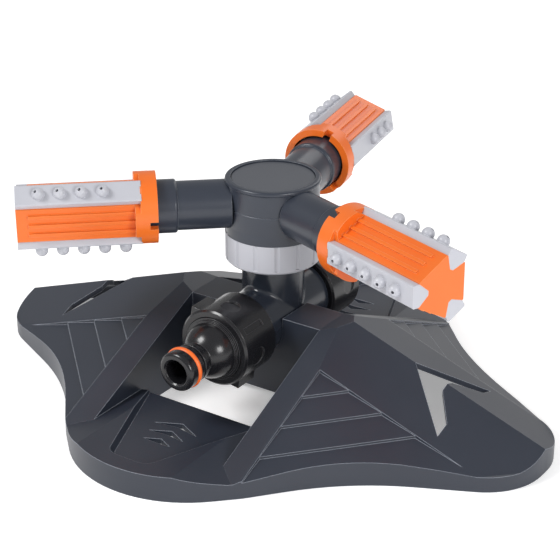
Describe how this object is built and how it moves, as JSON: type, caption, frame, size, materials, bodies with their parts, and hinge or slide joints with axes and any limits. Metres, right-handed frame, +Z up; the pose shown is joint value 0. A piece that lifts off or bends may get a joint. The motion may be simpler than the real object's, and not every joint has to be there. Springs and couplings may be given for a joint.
{
  "type": "rotary lawn sprinkler",
  "caption": "Rotary lawn sprinkler with radial arms carrying turnable multi-nozzle heads on a lobed sled base, with a hose nipple inlet and a capped through outlet.",
  "frame": {"origin": "on the ground under the rotor axis, within 2 mm of the centre of the whole object's footprint; the base itself lies 4.4 mm nearer the inlet", "axes": "+Z up along the rotor axis, +X along the base's ridge, -Y towards the hose inlet"},
  "size_m": [0.2508, 0.2046, 0.0951],
  "materials": {
    "sled_plastic": "fine moulded texture, satin",
    "pipe_plastic": "smooth gloss",
    "rotor_plastic": "smooth satin",
    "head_plastic": "semi-gloss",
    "pale_plastic": "semi-gloss",
    "black_plastic": "gloss",
    "orange_rubber": "smooth",
    "black_rubber": "smooth",
    "spindle_plastic": "turned acetal",
    "thrust_washer_plastic": "low-friction washer",
    "filter_plastic": "perforated disc",
    "steel": "bright"
  },
  "bodies": {
    "sled": {"base": "sled_plastic", "tee_body": "pipe_plastic", "tee_screws": "steel", "inlet_filter": "filter_plastic", "inlet_washer": "black_rubber", "inlet_nipple": "black_plastic", "nipple_o_ring": "orange_rubber", "end_cap_washer": "black_rubber", "spindle": "spindle_plastic", "spindle_o_ring": "black_rubber", "lower_thrust_washer": "thrust_washer_plastic", "upper_thrust_washer": "thrust_washer_plastic"},
    "inlet_nut": {"inlet_nut": "black_plastic"},
    "end_cap": {"end_cap": "black_plastic"},
    "rotor": {"retaining_nut": "pale_plastic", "hub_body": "rotor_plastic", "hub_lid": "rotor_plastic", "arm_tube_far": "rotor_plastic", "arm_o_ring_far": "black_rubber", "arm_clip_far": "steel", "arm_tube_left": "rotor_plastic", "arm_o_ring_left": "black_rubber", "arm_clip_left": "steel", "arm_tube_near": "rotor_plastic", "arm_o_ring_near": "black_rubber", "arm_clip_near": "steel"},
    "head_far": {"head_far": "head_plastic", "nozzle_strip_far_3": "pale_plastic", "nozzle_strip_far_4": "pale_plastic", "nozzle_strip_far_5": "pale_plastic"},
    "head_left": {"head_left": "head_plastic", "nozzle_strip_left_3": "pale_plastic", "nozzle_strip_left_4": "pale_plastic", "nozzle_strip_left_5": "pale_plastic"},
    "head_near": {"head_near": "head_plastic", "nozzle_strip_near_3": "pale_plastic", "nozzle_strip_near_4": "pale_plastic", "nozzle_strip_near_5": "pale_plastic"}
  },
  "joints": [
    {"name": "rotor_spin", "type": "hinge", "parent": "sled", "child": "rotor", "pos_m": [0, 0, 0.07975], "axis": [0, 0, 1], "continuous": true},
    {"name": "inlet_nut_turn", "type": "hinge", "parent": "sled", "child": "inlet_nut", "pos_m": [0, -0.031, 0.0322], "axis": [0, -1, 0], "range_deg": [0, 360]},
    {"name": "end_cap_turn", "type": "hinge", "parent": "sled", "child": "end_cap", "pos_m": [0, 0.031, 0.0322], "axis": [0, 1, 0], "range_deg": [0, 360]},
    {"name": "head_far_turn", "type": "hinge", "parent": "rotor", "child": "head_far", "pos_m": [-0.01118, 0.05752, 0.07975], "axis": [-0.1908, 0.9816, 0], "continuous": true},
    {"name": "head_left_turn", "type": "hinge", "parent": "rotor", "child": "head_left", "pos_m": [-0.04423, -0.03845, 0.07975], "axis": [-0.7547, -0.6561, 0], "continuous": true},
    {"name": "head_near_turn", "type": "hinge", "parent": "rotor", "child": "head_near", "pos_m": [0.05541, -0.01908, 0.07975], "axis": [0.9455, -0.3256, 0], "continuous": true}
  ]
}
